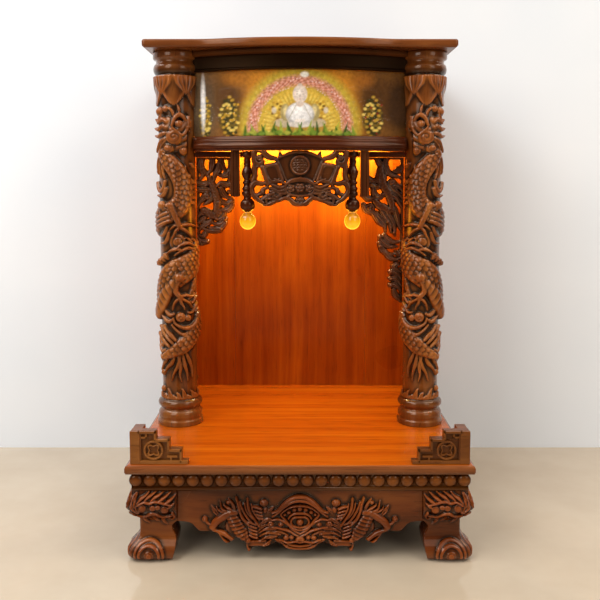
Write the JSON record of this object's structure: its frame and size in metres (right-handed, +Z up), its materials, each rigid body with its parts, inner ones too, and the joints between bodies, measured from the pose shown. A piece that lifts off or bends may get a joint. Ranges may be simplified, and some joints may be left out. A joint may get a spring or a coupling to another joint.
{
  "type": "household altar cabinet",
  "caption": "Small carved wooden altar cabinet with dragon columns, a bowed picture frieze, hanging lamps and a beaded base on carved feet.",
  "frame": {"origin": "on the ground below the middle of the cabinet", "axes": "+X to the right seen from the front, +Y to the back, +Z up; the open front faces -Y"},
  "size_m": [0.566, 0.566, 0.863],
  "materials": {
    "varnished_wood": "glossy brown varnish over carved hardwood",
    "dark_wood": "dark glossy varnish",
    "red_boards": "clear gloss over orange-red boards",
    "frieze_glass": "clear pane",
    "painted_panel": "painted picture on a thin panel",
    "lamp_glass": "lit warm lamp glass"
  },
  "bodies": {
    "root": {"base_top_board": "red_boards", "rail_back": "varnished_wood", "bead_rail_front": "varnished_wood", "bead_rail_left": "varnished_wood", "bead_rail_right": "varnished_wood", "apron_front": "varnished_wood", "apron_left": "varnished_wood", "apron_right": "varnished_wood", "apron_back": "varnished_wood", "leg_front_left": "varnished_wood", "leg_front_right": "varnished_wood", "leg_back_left": "varnished_wood", "leg_back_right": "varnished_wood", "corner_fence_left": "varnished_wood", "corner_fence_right": "varnished_wood", "column_left": "varnished_wood", "column_right": "varnished_wood", "roof_board": "varnished_wood", "back_board_left": "red_boards", "back_board_centre": "red_boards", "back_board_right": "red_boards", "side_board_left": "red_boards", "side_board_right": "red_boards", "frieze_top_rail": "dark_wood", "frieze_bottom_rail": "dark_wood", "lintel_left": "dark_wood", "lintel_right": "dark_wood", "hanging_post_left": "dark_wood", "hanging_post_right": "dark_wood", "pendant_left": "dark_wood", "pendant_right": "dark_wood", "centre_fretwork": "dark_wood", "bracket_left": "dark_wood", "bracket_right": "dark_wood", "frieze_glass": "frieze_glass", "frieze_picture": "painted_panel", "lamp_bulb_left": "lamp_glass", "lamp_bulb_right": "lamp_glass"}
  },
  "joints": []
}
